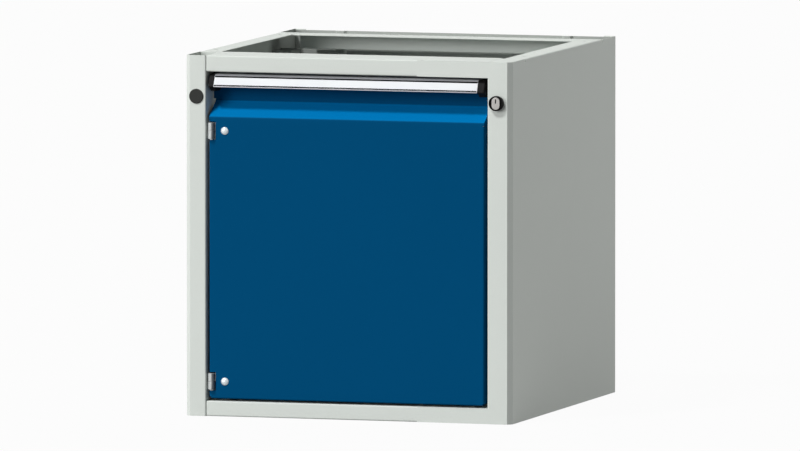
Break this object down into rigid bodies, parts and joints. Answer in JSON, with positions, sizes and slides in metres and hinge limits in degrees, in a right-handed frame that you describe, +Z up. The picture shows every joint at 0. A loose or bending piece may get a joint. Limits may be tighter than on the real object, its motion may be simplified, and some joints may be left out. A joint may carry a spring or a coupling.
{
  "type": "under-bench cabinet",
  "caption": "Under-bench cabinet of folded sheet steel with a hinged door, aluminium grip profile, cam lock and inner shelf, open on top with flanges that bolt under a worktop.",
  "frame": {"origin": "centre of the bounding box at the floor, on the plane that the cabinet stands on", "axes": "+Z up, -Y out of the door's front, +X to the right of someone who faces the door"},
  "size_m": [0.555, 0.608, 0.59],
  "materials": {
    "light_grey_paint": "fine powder coat",
    "blue_paint": "fine powder coat",
    "anodised_aluminium": "bright anodised",
    "white_plastic": "smooth",
    "black_plastic": "satin",
    "zinc_plated_steel": "zinc plated",
    "nickel_face": "satin nickel"
  },
  "bodies": {
    "housing": {"left_side_panel": "light_grey_paint", "right_side_panel": "light_grey_paint", "top_front_rail": "light_grey_paint", "bottom_front_rail": "light_grey_paint", "floor_panel": "light_grey_paint", "back_panel": "light_grey_paint", "lock_column_cap": "light_grey_paint", "rear_top_rail": "light_grey_paint", "rear_left_post": "light_grey_paint", "rear_right_post": "light_grey_paint", "shelf": "light_grey_paint", "shelf_clip_front_left": "zinc_plated_steel", "shelf_clip_front_right": "zinc_plated_steel", "shelf_clip_rear_left": "zinc_plated_steel", "shelf_clip_rear_right": "zinc_plated_steel", "hinge_frame_leaf_upper": "zinc_plated_steel", "hinge_frame_leaf_lower": "zinc_plated_steel", "hinge_pin_upper": "zinc_plated_steel", "hinge_pin_lower": "zinc_plated_steel", "hinge_rivet_upper_front": "zinc_plated_steel", "hinge_rivet_upper_rear": "zinc_plated_steel", "hinge_rivet_lower_front": "zinc_plated_steel", "hinge_rivet_lower_rear": "zinc_plated_steel", "blanking_plug": "black_plastic", "lock_housing": "black_plastic", "lock_nut": "zinc_plated_steel"},
    "door": {"door_panel": "blue_paint", "handle_profile": "anodised_aluminium", "label_strip": "white_plastic", "handle_end_cap_left": "black_plastic", "handle_end_cap_right": "black_plastic", "handle_screw_left": "zinc_plated_steel", "handle_screw_middle": "zinc_plated_steel", "handle_screw_right": "zinc_plated_steel", "hinge_door_leaf_upper": "zinc_plated_steel", "hinge_door_leaf_lower": "zinc_plated_steel", "hinge_bolt_upper": "zinc_plated_steel", "hinge_bolt_lower": "zinc_plated_steel", "hinge_nut_upper": "zinc_plated_steel", "hinge_nut_lower": "zinc_plated_steel", "lock_keeper": "zinc_plated_steel"},
    "lock": {"lock_core": "nickel_face", "lock_cam": "zinc_plated_steel", "cam_screw": "zinc_plated_steel"}
  },
  "joints": [
    {"name": "door_hinge", "type": "hinge", "parent": "housing", "child": "door", "pos_m": [-0.234, -0.2925, 0.262], "axis": [0, 0, -1], "range_deg": [0, 110]},
    {"name": "lock_turn", "type": "hinge", "parent": "housing", "child": "lock", "pos_m": [0.2525, -0.296, 0.523], "axis": [0, 1, 0], "range_deg": [0, 90]}
  ]
}
